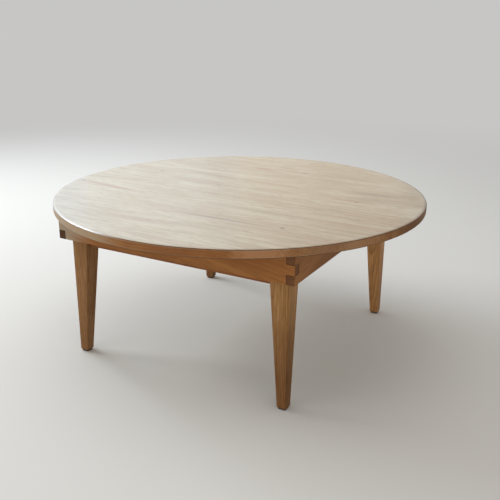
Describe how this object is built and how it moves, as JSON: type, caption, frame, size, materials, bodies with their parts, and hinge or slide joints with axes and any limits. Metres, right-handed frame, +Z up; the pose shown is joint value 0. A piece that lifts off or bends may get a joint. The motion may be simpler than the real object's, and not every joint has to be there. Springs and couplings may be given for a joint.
{
  "type": "chabudai folding low table",
  "caption": "Low round wooden table: boarded top on a finger-jointed apron frame, with tapered square legs, joined in pairs by a rail, that fold up inside the frame.",
  "frame": {"origin": "on the floor, under the centre of the round top", "axes": "+Z up; +X along the boards of the top and the front apron, to the user's right; -Y towards the front apron"},
  "size_m": [0.85, 0.8499, 0.356],
  "materials": {
    "top_wood": "satin",
    "frame_wood": "satin",
    "leg_wood": "satin",
    "rail_wood": "satin",
    "block_wood": "matt",
    "axle_steel": "satin",
    "spring_steel": "satin",
    "screw_steel": "satin",
    "foot_felt": "matt"
  },
  "bodies": {
    "table": {"apron_back": "frame_wood", "apron_front": "frame_wood", "apron_left": "frame_wood", "apron_right": "frame_wood", "bearer_block_back_left": "block_wood", "bearer_block_back_right": "block_wood", "bearer_block_front_left": "block_wood", "bearer_block_front_right": "block_wood", "block_screws": "screw_steel", "button_screws": "screw_steel", "leaf_spring_back_left": "spring_steel", "leaf_spring_back_right": "spring_steel", "leaf_spring_front_left": "spring_steel", "leaf_spring_front_right": "spring_steel", "leg_axle_back_left": "axle_steel", "leg_axle_back_right": "axle_steel", "leg_axle_front_left": "axle_steel", "leg_axle_front_right": "axle_steel", "leg_washers_back_left": "axle_steel", "leg_washers_back_right": "axle_steel", "leg_washers_front_left": "axle_steel", "leg_washers_front_right": "axle_steel", "spring_screws": "screw_steel", "top_board_1": "top_wood", "top_board_2": "top_wood", "top_board_3": "top_wood", "top_board_4": "top_wood", "top_board_5": "top_wood", "top_board_6": "top_wood", "top_board_7": "top_wood", "top_board_8": "top_wood", "top_button_back_1": "block_wood", "top_button_back_2": "block_wood", "top_button_front_1": "block_wood", "top_button_front_2": "block_wood", "top_button_left_1": "block_wood", "top_button_left_2": "block_wood", "top_button_right_1": "block_wood", "top_button_right_2": "block_wood"},
    "front_legs": {"foot_pad_front_left": "foot_felt", "foot_pad_front_right": "foot_felt", "leg_front_left": "leg_wood", "leg_front_right": "leg_wood", "leg_rail_front": "rail_wood"},
    "back_legs": {"foot_pad_back_left": "foot_felt", "foot_pad_back_right": "foot_felt", "leg_back_left": "leg_wood", "leg_back_right": "leg_wood", "leg_rail_back": "rail_wood"}
  },
  "joints": [
    {"name": "front_legs_fold", "type": "hinge", "parent": "table", "child": "front_legs", "pos_m": [0, -0.2627, 0.3005], "axis": [1, 0, 0], "range_deg": [0, 90], "deforming": ["leaf_spring_front_left", "leaf_spring_front_right"]},
    {"name": "back_legs_fold", "type": "hinge", "parent": "table", "child": "back_legs", "pos_m": [0, 0.2627, 0.3005], "axis": [-1, 0, 0], "range_deg": [0, 96], "deforming": ["leaf_spring_back_left", "leaf_spring_back_right"]}
  ]
}
